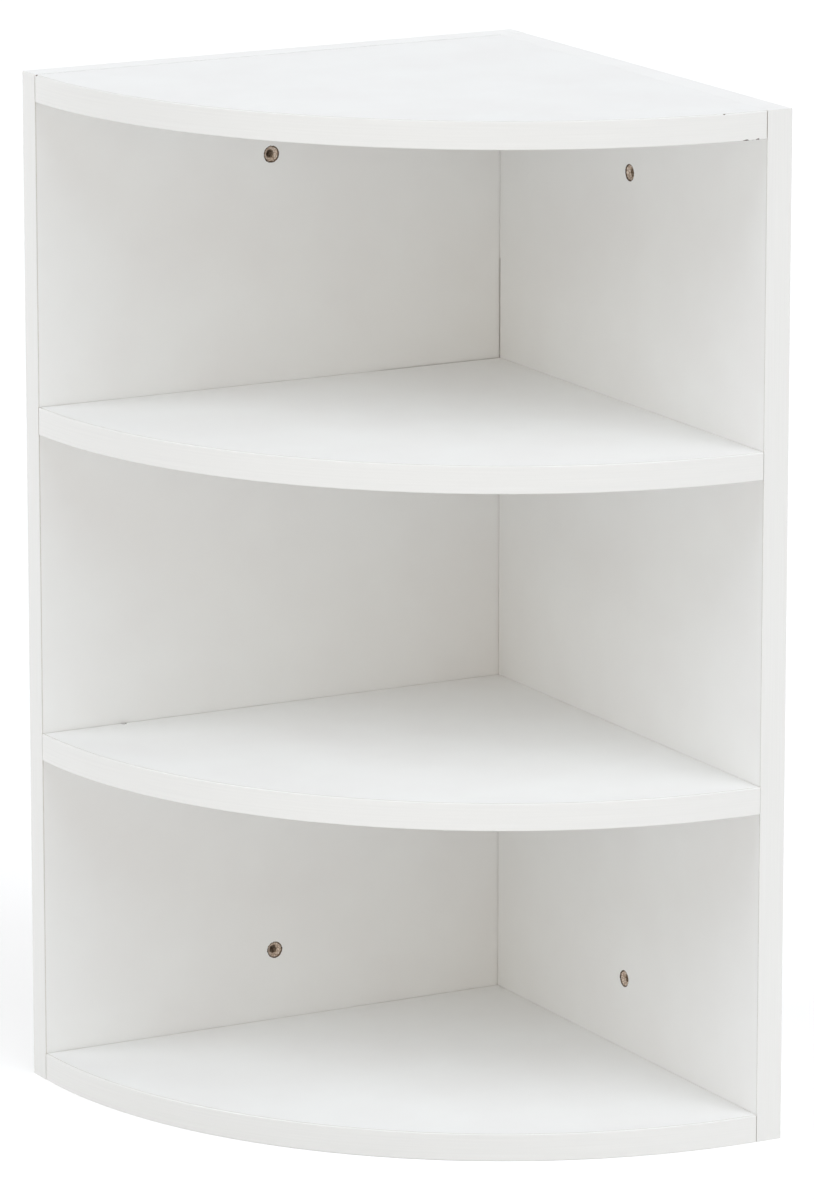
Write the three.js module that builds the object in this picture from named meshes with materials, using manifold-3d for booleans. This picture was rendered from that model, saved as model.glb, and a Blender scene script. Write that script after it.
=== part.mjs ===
// White corner shelf unit. Two upright chipboard panels meet at a right angle, and four
// quarter-round boards span between them. One-piece connector screws and wooden dowels join the
// boards, all from the panels' outer faces, which the room's walls cover.
//
// Millimetres, +Z up. The left panel stands along X at the back and the right panel along Y at
// the right, so the open side faces -X and -Y. The origin is the middle of the rectangle that
// the unit covers on the floor. Pieces are drawn from the inner corner, where the two panels'
// inner faces meet, and the whole group is then moved to the origin.

import * as THREE from 'three';
import { mergeVertices } from 'three/addons/utils/BufferGeometryUtils.js';
import Module from 'manifold-3d';

// Overall form
const unitHeight = 560;
const shelfRadius = 285; // from the inner corner to the curved front, edging included
const panelThickness = 15;
const shelfThickness = 15;
const shelfNames = ['bottom', 'lower', 'upper', 'top'];
const leftJointGap = 0.5; // the open seam between the left panel and what butts against it

// Glued edging
const curvedEdging = 1;
const panelEdging = 0.5;

// Countersunk holes through which the unit hangs on the walls
const wallHoleDiameter = 4.5;
const wallSinkDiameter = 9.4;
const wallHoleFromShelf = 40; // from the top and bottom boards' inner faces to the hole

// One-piece connector screws
const screwLength = 50;
const screwShankDiameter = 7; // over the thread
const screwHeadDiameter = 10;
const screwHeadRim = 1; // straight edge of the head, above its cone
const screwHeadSink = 0.3; // how deep the head lies below the panel's face
const screwTipLength = 5;
const screwTipDiameter = 3;
const screwSocketWidth = 4; // across the flats of the hexagon socket
const screwSocketDepth = 2.5;
const screwFromCorner = 60;
const screwFromFront = 45;

// Wooden dowels
const dowelDiameter = 8;
const dowelLength = 30;
const dowelChamfer = 1;
const dowelBacking = 4; // board left behind the dowel's blind hole in a panel

// Clearances
const fitClearance = 0.3; // all round a screw or dowel
const endClearance = 1; // past the end of a screw or dowel
const cutOverrun = 2; // how far a cutter starts outside the face that it cuts

// Facets
const curveSegments = 32;
const wallHoleSides = 24;
const fastenerSides = 12;
const socketSides = 6;

// Worked out from the sizes above
const compartmentHeight =
  (unitHeight - shelfNames.length * shelfThickness) / (shelfNames.length - 1);
const shelfPitch = shelfThickness + compartmentHeight;
const shelfMiddle = shelfThickness / 2;
const panelMiddle = panelThickness / 2;
const wallHoleFromCorner = shelfRadius / 2; // in the middle of each panel's inner width
const screwFromCornerAtFront = shelfRadius - screwFromFront;
const dowelFromCorner = (screwFromCorner + screwFromCornerAtFront) / 2;
const dowelInPanel = panelThickness - dowelBacking - endClearance;
const cornerPlace = new THREE.Vector3(
  (shelfRadius - panelThickness) / 2,
  (shelfRadius + leftJointGap - panelThickness) / 2,
  0,
);

// Directions in which the panels and boards are drilled
const towardsBack = new THREE.Vector3(0, 1, 0);
const towardsRight = new THREE.Vector3(1, 0, 0);
const towardsFront = new THREE.Vector3(0, -1, 0);
const towardsLeft = new THREE.Vector3(-1, 0, 0);

const wasm = await Module();
wasm.setup();

// Each piece has a material of its own
function whiteMelamine() {
  return new THREE.MeshStandardMaterial({ color: 0xf0f0ee, roughness: 0.45, metalness: 0 });
}

function whiteEdging() {
  return new THREE.MeshStandardMaterial({ color: 0xececea, roughness: 0.4, metalness: 0 });
}

function zincPlate() {
  return new THREE.MeshStandardMaterial({ color: 0xb8bab8, roughness: 0.35, metalness: 1 });
}

function beech() {
  return new THREE.MeshStandardMaterial({ color: 0xd8b98c, roughness: 0.7, metalness: 0 });
}

// A closed geometry as a solid that can be joined and cut
function solidOf(geometry) {
  const bare = geometry.clone();
  bare.deleteAttribute('normal');
  bare.deleteAttribute('uv');
  const merged = mergeVertices(bare);
  const index = merged.index.array;
  const kept = [];
  for (let i = 0; i < index.length; i += 3) {
    const [a, b, c] = [index[i], index[i + 1], index[i + 2]];
    if (a !== b && b !== c && c !== a) kept.push(a, b, c);
  }
  return new wasm.Manifold(new wasm.Mesh({
    numProp: 3,
    vertProperties: new Float32Array(merged.attributes.position.array),
    triVerts: new Uint32Array(kept),
  }));
}

function geometryOf(solid) {
  const mesh = solid.getMesh();
  const geometry = new THREE.BufferGeometry();
  geometry.setAttribute('position', new THREE.BufferAttribute(mesh.vertProperties, 3));
  geometry.setIndex(new THREE.BufferAttribute(mesh.triVerts, 1));
  geometry.computeVertexNormals();
  return geometry;
}

function cutFrom(geometry, cutters) {
  let solid = solidOf(geometry);
  for (const cutter of cutters) solid = solid.subtract(solidOf(cutter));
  return geometryOf(solid);
}

// A block between two corners. Its vertices take the corners' own numbers, so that blocks
// which share a face share it exactly.
function block(low, high) {
  const geometry = new THREE.BoxGeometry();
  const position = geometry.attributes.position;
  for (let i = 0; i < position.count; i += 1) {
    position.setXYZ(
      i,
      position.getX(i) < 0 ? low.x : high.x,
      position.getY(i) < 0 ? low.y : high.y,
      position.getZ(i) < 0 ? low.z : high.z,
    );
  }
  return geometry;
}

// A flat outline raised to a thickness
function plate(shape, thickness) {
  return new THREE.ExtrudeGeometry(shape, { depth: thickness, bevelEnabled: false, curveSegments });
}

// A turned solid. Its profile is a list of [radius, depth], and depth runs from start towards
// direction.
function turned(profile, sides) {
  return new THREE.LatheGeometry(profile.map(([r, depth]) => new THREE.Vector2(r, depth)), sides);
}

function aimed(geometry, start, direction) {
  const turn = new THREE.Quaternion().setFromUnitVectors(towardsBack, direction);
  const matrix = new THREE.Matrix4().compose(start, turn, new THREE.Vector3(1, 1, 1));
  return geometry.applyMatrix4(matrix);
}

// Cutters
function boreCutter(diameter, depth, start, direction) {
  const radius = diameter / 2;
  const profile = [
    [0, -cutOverrun],
    [radius, -cutOverrun],
    [radius, depth],
    [0, depth],
  ];
  return aimed(turned(profile, fastenerSides), start, direction);
}

function screwPanelCutter(start, direction) {
  const head = screwHeadDiameter / 2 + fitClearance;
  const shank = screwShankDiameter / 2 + fitClearance;
  const coneTop = screwHeadSink + screwHeadRim;
  const profile = [
    [0, -cutOverrun],
    [head, -cutOverrun],
    [head, coneTop],
    [shank, coneTop + head - shank],
    [shank, panelThickness + cutOverrun],
    [0, panelThickness + cutOverrun],
  ];
  return aimed(turned(profile, fastenerSides), start, direction);
}

function wallHoleCutter(start, direction) {
  const mouth = wallSinkDiameter / 2;
  const hole = wallHoleDiameter / 2;
  const profile = [
    [0, -cutOverrun],
    [mouth + cutOverrun, -cutOverrun],
    [hole, mouth - hole],
    [hole, panelThickness + cutOverrun],
    [0, panelThickness + cutOverrun],
  ];
  return aimed(turned(profile, wallHoleSides), start, direction);
}

function screwEndCutter(start, direction) {
  const depth = screwHeadSink + screwLength - panelThickness + endClearance;
  return boreCutter(screwShankDiameter + 2 * fitClearance, depth, start, direction);
}

function dowelPanelCutter(start, direction) {
  const depth = dowelInPanel + endClearance;
  return boreCutter(dowelDiameter + 2 * fitClearance, depth, start, direction);
}

function dowelEndCutter(start, direction) {
  const depth = dowelLength - dowelInPanel + endClearance;
  return boreCutter(dowelDiameter + 2 * fitClearance, depth, start, direction);
}

// Where the fasteners and holes lie, as points on the plane where a panel meets the boards.
// "along" is the distance from the inner corner.
function onLeftPanel(along, z) {
  return new THREE.Vector3(-along, 0, z);
}

function onRightPanel(along, z) {
  return new THREE.Vector3(0, -leftJointGap - along, z);
}

function onCornerJoint(z) {
  return new THREE.Vector3(panelMiddle, 0, z);
}

function shelfBase(i) {
  return i * shelfPitch;
}

function shelfMiddleHeights() {
  return shelfNames.map((name, i) => shelfBase(i) + shelfMiddle);
}

const shelfScrewPlaces = [
  { name: 'rear', along: screwFromCorner },
  { name: 'front', along: screwFromCornerAtFront },
];

function cornerScrewPlaces() {
  return ['low', 'middle', 'high'].map((name, i) => (
    { name, z: shelfBase(i) + shelfThickness + compartmentHeight / 2 }
  ));
}

function cornerDowelPlaces() {
  return shelfNames
    .map((name, i) => ({ name, z: shelfBase(i) + shelfMiddle }))
    .slice(1, -1);
}

function wallHoleHeights() {
  const fromEnd = shelfThickness + wallHoleFromShelf;
  return [fromEnd, unitHeight - fromEnd];
}

// The outer face that a screw starts from, seen from the point where the panel meets the board
function outside(point, inwards) {
  return point.clone().addScaledVector(inwards, -panelThickness);
}

// Boards
function leftPanelGeometry() {
  const core = block(
    new THREE.Vector3(-shelfRadius + panelEdging, 0, panelEdging),
    new THREE.Vector3(panelThickness - panelEdging, panelThickness, unitHeight - panelEdging),
  );
  const cutters = [];
  for (const z of shelfMiddleHeights()) {
    for (const { along } of shelfScrewPlaces) {
      cutters.push(screwPanelCutter(outside(onLeftPanel(along, z), towardsFront), towardsFront));
    }
    cutters.push(dowelPanelCutter(onLeftPanel(dowelFromCorner, z), towardsBack));
  }
  for (const { z } of cornerScrewPlaces()) {
    cutters.push(screwPanelCutter(outside(onCornerJoint(z), towardsFront), towardsFront));
  }
  for (const { z } of cornerDowelPlaces()) {
    cutters.push(dowelPanelCutter(onCornerJoint(z), towardsBack));
  }
  for (const z of wallHoleHeights()) {
    cutters.push(wallHoleCutter(onLeftPanel(wallHoleFromCorner, z), towardsBack));
  }
  return cutFrom(core, cutters);
}

function rightPanelGeometry() {
  const core = block(
    new THREE.Vector3(0, -leftJointGap - shelfRadius + panelEdging, panelEdging),
    new THREE.Vector3(panelThickness, -leftJointGap, unitHeight - panelEdging),
  );
  const cutters = [];
  for (const z of shelfMiddleHeights()) {
    for (const { along } of shelfScrewPlaces) {
      cutters.push(screwPanelCutter(outside(onRightPanel(along, z), towardsLeft), towardsLeft));
    }
    cutters.push(dowelPanelCutter(onRightPanel(dowelFromCorner, z), towardsRight));
  }
  for (const { z } of cornerScrewPlaces()) {
    cutters.push(screwEndCutter(onCornerJoint(z), towardsFront));
  }
  for (const { z } of cornerDowelPlaces()) {
    cutters.push(dowelEndCutter(onCornerJoint(z), towardsFront));
  }
  for (const z of wallHoleHeights()) {
    cutters.push(wallHoleCutter(onRightPanel(wallHoleFromCorner, z), towardsRight));
  }
  return cutFrom(core, cutters);
}

// A quarter disc whose straight edges lie along the two panels
function shelfGeometry() {
  const quarter = new THREE.Shape();
  const radius = shelfRadius - curvedEdging;
  quarter.absarc(0, -leftJointGap, radius, Math.PI, 1.5 * Math.PI, false);
  quarter.lineTo(0, -leftJointGap);
  quarter.closePath();
  const cutters = [];
  for (const { along } of shelfScrewPlaces) {
    cutters.push(screwEndCutter(onLeftPanel(along, shelfMiddle), towardsFront));
    cutters.push(screwEndCutter(onRightPanel(along, shelfMiddle), towardsLeft));
  }
  cutters.push(dowelEndCutter(onLeftPanel(dowelFromCorner, shelfMiddle), towardsFront));
  cutters.push(dowelEndCutter(onRightPanel(dowelFromCorner, shelfMiddle), towardsLeft));
  return cutFrom(plate(quarter, shelfThickness), cutters);
}

// The strip round a board's curved front
function curvedEdgingGeometry() {
  const strip = new THREE.Shape();
  strip.absarc(0, -leftJointGap, shelfRadius, Math.PI, 1.5 * Math.PI, false);
  strip.absarc(0, -leftJointGap, shelfRadius - curvedEdging, 1.5 * Math.PI, Math.PI, true);
  strip.closePath();
  return plate(strip, shelfThickness);
}

// The panels' straight edging. The upright strips run the full height, and the level strips
// lie between them.
function panelEdgingGeometries() {
  const leftFront = -shelfRadius;
  const leftRear = panelThickness;
  const rightFront = -leftJointGap - shelfRadius;
  const rightRear = -leftJointGap;
  const strip = (x0, x1, y0, y1, z0, z1) => (
    block(new THREE.Vector3(x0, y0, z0), new THREE.Vector3(x1, y1, z1))
  );
  const innerHeight = unitHeight - panelEdging;
  const insideFront = leftFront + panelEdging;
  const insideRear = leftRear - panelEdging;
  const insideRightFront = rightFront + panelEdging;
  return {
    left_front: strip(leftFront, insideFront, 0, panelThickness, 0, unitHeight),
    left_rear: strip(insideRear, leftRear, 0, panelThickness, 0, unitHeight),
    left_top: strip(insideFront, insideRear, 0, panelThickness, innerHeight, unitHeight),
    left_bottom: strip(insideFront, insideRear, 0, panelThickness, 0, panelEdging),
    right_front: strip(0, panelThickness, rightFront, insideRightFront, 0, unitHeight),
    right_top: strip(0, panelThickness, insideRightFront, rightRear, innerHeight, unitHeight),
    right_bottom: strip(0, panelThickness, insideRightFront, rightRear, 0, panelEdging),
  };
}

// Fasteners, drawn along +Y from the head or the outer end
function screwGeometry() {
  const head = screwHeadDiameter / 2;
  const shank = screwShankDiameter / 2;
  const body = turned([
    [0, 0],
    [head, 0],
    [head, screwHeadRim],
    [shank, screwHeadRim + head - shank],
    [shank, screwLength - screwTipLength],
    [screwTipDiameter / 2, screwLength],
    [0, screwLength],
  ], fastenerSides);
  const socketRadius = screwSocketWidth / Math.sqrt(3);
  const socketLength = screwSocketDepth + cutOverrun;
  const socket = new THREE.CylinderGeometry(socketRadius, socketRadius, socketLength, socketSides);
  socket.translate(0, screwSocketDepth - socketLength / 2, 0);
  return cutFrom(body, [socket]);
}

function dowelGeometry() {
  const radius = dowelDiameter / 2;
  return turned([
    [0, 0],
    [radius - dowelChamfer, 0],
    [radius, dowelChamfer],
    [radius, dowelLength - dowelChamfer],
    [radius - dowelChamfer, dowelLength],
    [0, dowelLength],
  ], fastenerSides);
}

function named(name, geometry, material) {
  const mesh = new THREE.Mesh(geometry, material);
  mesh.name = name;
  return mesh;
}

// A screw whose head lies just below the panel's outer face. "point" is where the panel meets
// the board.
function placedScrew(name, point, inwards) {
  const screw = named(name, screwGeometry(), zincPlate());
  screw.position.copy(outside(point, inwards)).addScaledVector(inwards, screwHeadSink);
  screw.quaternion.setFromUnitVectors(towardsBack, inwards);
  return screw;
}

function placedDowel(name, point, inwards) {
  const dowel = named(name, dowelGeometry(), beech());
  dowel.position.copy(point).addScaledVector(inwards, -dowelInPanel);
  dowel.quaternion.setFromUnitVectors(towardsBack, inwards);
  return dowel;
}

// Groups
function panels() {
  const group = new THREE.Group();
  group.add(named('left_panel', leftPanelGeometry(), whiteMelamine()));
  group.add(named('right_panel', rightPanelGeometry(), whiteMelamine()));
  for (const [name, geometry] of Object.entries(panelEdgingGeometries())) {
    group.add(named(`edging_${name}`, geometry, whiteEdging()));
  }
  return group;
}

function shelf(name, i) {
  const group = new THREE.Group();
  group.add(named(`shelf_${name}`, shelfGeometry(), whiteMelamine()));
  group.add(named(`edging_shelf_${name}`, curvedEdgingGeometry(), whiteEdging()));
  group.position.z = shelfBase(i);
  return group;
}

function shelfFasteners(name, i) {
  const group = new THREE.Group();
  const z = shelfBase(i) + shelfMiddle;
  for (const place of shelfScrewPlaces) {
    const ending = `${name}_${place.name}`;
    group.add(placedScrew(`screw_left_${ending}`, onLeftPanel(place.along, z), towardsFront));
    group.add(placedScrew(`screw_right_${ending}`, onRightPanel(place.along, z), towardsLeft));
  }
  group.add(placedDowel(`dowel_left_${name}`, onLeftPanel(dowelFromCorner, z), towardsFront));
  group.add(placedDowel(`dowel_right_${name}`, onRightPanel(dowelFromCorner, z), towardsLeft));
  return group;
}

function cornerFasteners() {
  const group = new THREE.Group();
  for (const { name, z } of cornerScrewPlaces()) {
    group.add(placedScrew(`screw_corner_${name}`, onCornerJoint(z), towardsFront));
  }
  for (const { name, z } of cornerDowelPlaces()) {
    group.add(placedDowel(`dowel_corner_${name}`, onCornerJoint(z), towardsFront));
  }
  return group;
}

const unit = new THREE.Group();
unit.add(panels());
shelfNames.forEach((name, i) => {
  unit.add(shelf(name, i));
  unit.add(shelfFasteners(name, i));
});
unit.add(cornerFasteners());
unit.position.copy(cornerPlace);

const cornerShelfUnit = new THREE.Group();
cornerShelfUnit.add(unit);

export default cornerShelfUnit;
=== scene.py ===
"""A white corner shelf unit of melamine-faced chipboard, dressed piece by piece."""

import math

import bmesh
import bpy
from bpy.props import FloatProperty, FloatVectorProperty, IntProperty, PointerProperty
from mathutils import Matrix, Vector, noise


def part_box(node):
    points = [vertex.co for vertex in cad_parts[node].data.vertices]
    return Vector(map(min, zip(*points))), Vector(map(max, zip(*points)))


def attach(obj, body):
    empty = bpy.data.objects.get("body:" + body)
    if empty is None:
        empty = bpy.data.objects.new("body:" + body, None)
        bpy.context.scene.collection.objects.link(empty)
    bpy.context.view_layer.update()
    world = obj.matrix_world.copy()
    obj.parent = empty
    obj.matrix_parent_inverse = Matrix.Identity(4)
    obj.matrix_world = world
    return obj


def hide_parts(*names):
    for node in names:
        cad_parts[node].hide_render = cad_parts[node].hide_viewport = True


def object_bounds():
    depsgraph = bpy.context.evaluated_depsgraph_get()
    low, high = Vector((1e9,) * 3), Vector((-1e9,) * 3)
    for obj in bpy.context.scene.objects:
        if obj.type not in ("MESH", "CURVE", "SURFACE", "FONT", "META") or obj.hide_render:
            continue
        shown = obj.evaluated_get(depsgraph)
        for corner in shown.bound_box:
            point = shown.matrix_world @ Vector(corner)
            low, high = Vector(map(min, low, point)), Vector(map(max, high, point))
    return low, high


bl_info = {
    "name": "Corner Shelf Unit",
    "version": (1, 0, 0),
    "blender": (4, 5, 0),
    "location": "3D View > Sidebar > Corner Shelf",
    "description": "Finishes a white corner shelf unit: boards, edging, screws, dowels and a studio",
    "category": "Object",
}

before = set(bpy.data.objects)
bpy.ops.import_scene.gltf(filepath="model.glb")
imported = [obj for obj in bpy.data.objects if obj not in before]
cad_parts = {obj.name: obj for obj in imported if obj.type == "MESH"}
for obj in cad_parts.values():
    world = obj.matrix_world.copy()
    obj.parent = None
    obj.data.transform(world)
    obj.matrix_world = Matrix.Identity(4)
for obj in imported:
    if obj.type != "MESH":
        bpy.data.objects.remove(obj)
CAD_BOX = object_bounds()

MM = 0.001
SHELVES = ("bottom", "lower", "upper", "top")

# Where the construction model has its boards
LEFT_LOW, LEFT_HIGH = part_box("left_panel")
RIGHT_LOW, RIGHT_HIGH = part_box("right_panel")
SHELF_LOW, SHELF_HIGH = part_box("shelf_bottom")
BOARD = SHELF_HIGH.z - SHELF_LOW.z
HEIGHT = CAD_BOX[1].z - CAD_BOX[0].z
BOARD_RADIUS = SHELF_HIGH.x - SHELF_LOW.x
EDGED_RADIUS = RIGHT_LOW.x - CAD_BOX[0].x
SHELF_CORNER = Vector((RIGHT_LOW.x, RIGHT_HIGH.y))
PANELS = (("left", LEFT_LOW, LEFT_HIGH), ("right", RIGHT_LOW, RIGHT_HIGH))


def linear(code):
    """A colour written as sRGB hex, as linear red, green and blue."""
    channels = [int(code[i:i + 2], 16) / 255 for i in (1, 3, 5)]
    return [c / 12.92 if c <= 0.04045 else ((c + 0.055) / 1.055) ** 2.4 for c in channels]


def length(name, description, default):
    return FloatProperty(
        name=name, description=description, default=default * MM, min=0, unit="LENGTH", precision=5
    )


def colour(name, description, code):
    return FloatVectorProperty(
        name=name, description=description, default=linear(code), size=3, min=0, max=1,
        subtype="COLOR",
    )


def light(name, description, default):
    return FloatProperty(name=name, description=description, default=default, min=0)


class BoardSizes(bpy.types.PropertyGroup):
    """Sizes of the chipboard's edges and holes"""

    glue_line: length("Glue line", "Width of the line of glue between a face and its edging", 0.22)
    tear_least: length("Least tear", "Melamine missing all along a sawn edge", 0.05)
    tear_most: length("Most tear", "Melamine missing where the saw tore it most", 0.42)
    rough_tear: length("Rough tear", "The same along a stretch that is torn badly", 0.5)
    rough_depth: length("Rough depth", "How deep the melamine has come off there", 0.055)
    tear_spacing: length("Tear spacing", "Distance between the points of a torn edge", 1.0)
    left_gap: length("Left joint", "Between the left panel and the boards that butt against it", 0.2)
    top_gap: length("Top joint", "Between the left panel and the top board", 0.5)
    right_gap: length("Right joint", "Between the right panel and the shelves", 0.08)
    wall_hole: length("Wall hole", "Diameter of the holes for the wall screws", 4.5)
    wall_sink: length("Countersink", "Diameter of their countersink at the face", 9.4)
    wall_hole_from_board: length("Hole from board", "From an end board's inner face to a hole", 40)
    crumble: length("Crumble", "How far chips have broken out of a drilled wall", 0.35)
    sink_rim: length("Countersink rim", "Width of the dark ring round a countersink", 0.7)
    sink_rim_depth: length("Rim depth", "Depth of that ring", 0.4)


class EdgingSizes(bpy.types.PropertyGroup):
    """Sizes of the glued edging"""

    curved_arris: length("Curved arris", "Rounding of the curved edging's long edges", 0.6)
    straight_arris: length("Straight arris", "Rounding of the panels' edging", 0.3)
    end_gap: length("End gap", "Between the curved edging's ends and the panels", 0.35)
    arris_steps: IntProperty(name="Arris steps", description="Facets of a rounding", default=4)
    arc_steps: IntProperty(name="Arc steps", description="Facets of a quarter turn", default=128)


class FastenerSizes(bpy.types.PropertyGroup):
    """Sizes of the connector screws and dowels"""

    thread: length("Thread", "Diameter of the screw over its thread and its neck", 7)
    core: length("Core", "Diameter of the screw inside its thread", 4.8)
    neck: length("Neck", "Length of the plain neck behind the head", 9)
    pitch: length("Pitch", "Distance between two turns of the thread", 3)
    rim: length("Head rim", "Straight edge of the head", 1)
    socket: length("Socket", "Hexagon socket across its flats", 4)
    socket_depth: length("Socket depth", "Depth of the hexagon socket", 2.5)
    tip: length("Tip", "Length of the pointed end", 5)
    flute: length("Flute", "Depth of the grooves along a dowel", 0.4)
    chamfer: length("Chamfer", "Chamfer at the dowel's ends", 1)
    clearance: length("Clearance", "All round a screw or dowel in its hole", 0.3)
    end_room: length("End room", "Past the end of a screw or dowel", 1)
    sides: IntProperty(name="Sides", description="Facets round a screw or dowel", default=36)
    flutes: IntProperty(name="Flutes", description="Number of grooves round a dowel", default=18)


class FinishColours(bpy.types.PropertyGroup):
    """Colours of the finishes"""

    melamine: colour("Melamine", "White of the boards' faces", "#F2F2F0")
    melamine_shade: colour("Melamine shade", "The same white where it is least bright", "#EFEEEC")
    edging: colour("Edging", "White of the strips in front", "#E8E7E4")
    edging_shade: colour("Edging shade", "The same white in its faint streaks", "#E5E4E1")
    chip_light: colour("Light chip", "Palest wood chips", "#DCCBB8")
    chip_dark: colour("Dark chip", "Darkest wood chips", "#AE977F")
    # The colours between chips paint the pores dark: painted shade in those hollows
    chip_gap: colour("Chip gap", "Between the chips", "#6E5A47")
    # The countersink's chips: fresh, and painted much paler than real chipboard, painted light that
    # makes its shaded cone look lit
    fresh_lit_light: colour("Light fresh chip", "Palest chips in a countersink", "#F9EEE3")
    fresh_lit_dark: colour("Dark fresh chip", "Darkest chips there", "#E2CCB8")
    fresh_lit_gap: colour("Fresh gap", "Between those chips", "#9E836B")
    # Chips painted dark brown: painted shade in the broken places and the badly torn seams, and the
    # dark ring round each countersink's mouth
    dark_chip_light: colour("Light darkened chip", "Palest chips of those painted dark", "#87705C")
    dark_chip_dark: colour("Dark darkened chip", "Darkest chips there", "#543F2E")
    dark_chip_gap: colour("Darkened gap", "Between those chips", "#2B1D14")
    glue: colour("Glue", "Hot-melt glue under the edging", "#B7B1A6")
    zinc: colour("Zinc", "Zinc plate on the screws", "#C9CCCC")
    zinc_warm: colour("Warm zinc", "Zinc plate where its passivation is warm", "#CDC9BC")
    beech: colour("Beech", "Wood of the dowels", "#D8B98C")
    beech_fleck: colour("Beech fleck", "Short dark flecks in the beech", "#B48F63")
    paper: colour("Paper", "Grey of the floor's paper in the light", "#C6C6C6")
    paper_fibre: colour("Paper fibre", "The same grey in its fibres", "#C2C2C2")


class StudioValues(bpy.types.PropertyGroup):
    """Camera, lamps and floor"""

    azimuth: FloatProperty(
        name="Azimuth", description="The camera's turn round the unit", unit="ROTATION",
        default=math.radians(-28.462),
    )
    elevation: FloatProperty(
        name="Elevation", description="The camera's height above the horizon", unit="ROTATION",
        default=math.radians(13.274),
    )
    distance: length("Distance", "From the camera to the middle of its view", 4076.12)
    view_middle: FloatVectorProperty(
        name="View middle", description="The point that the camera looks at", size=3,
        default=(0.00273, -0.00079, 0.28262), subtype="TRANSLATION", unit="LENGTH",
    )
    lens: FloatProperty(
        name="Lens", description="Focal length in millimetres on a 36 mm sensor", default=227.902,
    )
    ambient: light("Ambient", "Even light from all round", 0.25)
    floor_glow: light("Floor glow", "Light that the floor gives the unit", 0.4)
    floor_white: light("Floor white", "Light on the floor that shows but gives none", 0.56)
    glow_start: length("Glow start", "From the unit's middle to where the floor starts to glow", 10)
    glow_full: length("Glow full", "From the unit's middle to where the glow is full", 250)


class ShelfUnitSettings(bpy.types.PropertyGroup):
    """All the unit's settings"""

    boards: PointerProperty(type=BoardSizes)
    edging: PointerProperty(type=EdgingSizes)
    fasteners: PointerProperty(type=FastenerSizes)
    colours: PointerProperty(type=FinishColours)
    studio: PointerProperty(type=StudioValues)


def settings():
    return bpy.context.scene.shelf_unit


def output_of(value):
    """A node's first output in use, or the named one of a (node, name) pair."""
    if isinstance(value, tuple) and isinstance(value[0], bpy.types.Node):
        return value[0].outputs[value[1]]
    if isinstance(value, bpy.types.Node):
        return next(s for s in value.outputs if s.enabled)
    return None


def add(tree, kind, sockets=None, **values):
    """Adds a node. Each key of sockets is an input's identifier, name or number, and its value is a
    plain value, a node or a (node, output's name) pair, which is linked."""
    node = tree.nodes.new(kind)
    for name, value in values.items():
        setattr(node, name, value)
    for key, value in (sockets or {}).items():
        found = [s for s in node.inputs if s.identifier == key]
        socket = found[0] if found else node.inputs[key]
        output = output_of(value)
        if output:
            tree.links.new(output, socket)
        else:
            socket.default_value = value
    return node


def rgba(values):
    return (*values, 1.0)


def grain(size):
    """The scale that gives a pattern on coordinates in metres features of that size in mm."""
    return 1 / (size * MM)


def speckled(place, size, detail=2.0):
    """A noise texture's inputs on those coordinates, for features of that size in mm."""
    return {"Vector": place, "Scale": grain(size), "Detail": detail}


def material(make):
    """The material that a function draws in a node tree. It gets the function's name, which is
    none of the construction model's, and is made the first time only."""
    found = bpy.data.materials.get(make.__name__)
    if not found:
        found = bpy.data.materials.new(make.__name__)
        found.use_nodes = True
        found.node_tree.nodes.clear()
        make(found.node_tree, settings().colours)
    return found


# Most of a noise texture lies between these values
NOISE_RANGE = {"From Min": 0.3, "From Max": 0.7}


def spread(tree, pattern, limits, first, second):
    """How far a pattern is from the first limit to the second, and the colour that this mixes."""
    share = add(tree, "ShaderNodeMapRange", {"Value": pattern, **limits})
    mixed = add(tree, "ShaderNodeMix", {
        "Factor_Float": share, "A_Color": rgba(first), "B_Color": rgba(second),
    }, data_type="RGBA")
    return share, mixed


def finish_surface(tree, sockets, height, depth):
    """Ends a material in a Principled shader whose bump is that deep in mm."""
    bump = add(tree, "ShaderNodeBump", {"Strength": 1.0, "Distance": depth * MM, "Height": height})
    shader = add(tree, "ShaderNodeBsdfPrincipled", {**sockets, "Normal": bump})
    add(tree, "ShaderNodeOutputMaterial", {"Surface": shader})


def white_melamine(tree, colours):
    """Melamine resin paper, pressed on chipboard between satin plates: an even, clean white with
    a soft sheen, and in a low light the plate's fine pearl. The pearl is about 0.4 mm on the real
    board and is drawn at 1.4 mm, so that it shows."""
    place = add(tree, "ShaderNodeTexCoord"), "Object"
    clouds = add(tree, "ShaderNodeTexNoise", speckled(place, 55, 3.0))
    _, white = spread(tree, clouds, NOISE_RANGE, colours.melamine, colours.melamine_shade)
    wipes = add(tree, "ShaderNodeTexNoise", speckled(place, 9))
    sheen = add(tree, "ShaderNodeMapRange", {
        "Value": wipes, **NOISE_RANGE, "To Min": 0.44, "To Max": 0.52,
    })
    pearl = add(tree, "ShaderNodeTexNoise", speckled(place, 1.4, 1.0))
    finish_surface(tree, {"Base Color": white, "Roughness": sheen, "IOR": 1.5}, pearl, 0.012)


def white_abs_edging(tree, colours):
    """Extruded ABS strip, glued on hot and trimmed flush: a slightly creamier, smoother white than
    the melamine, with faint streaks along it from the die."""
    along = add(tree, "ShaderNodeUVMap", uv_map="UVMap")
    drawn = add(tree, "ShaderNodeMapping", {"Vector": along, "Scale": (grain(60), grain(0.9), 1)})
    streaks = add(tree, "ShaderNodeTexNoise", {"Vector": drawn, "Scale": 1.0, "Detail": 3.0})
    share, white = spread(tree, streaks, NOISE_RANGE, colours.edging, colours.edging_shade)
    sheen = add(tree, "ShaderNodeMapRange", {"Value": share, "To Min": 0.34, "To Max": 0.42})
    finish_surface(tree, {"Base Color": white, "Roughness": sheen, "IOR": 1.53}, share, 0.01)


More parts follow.
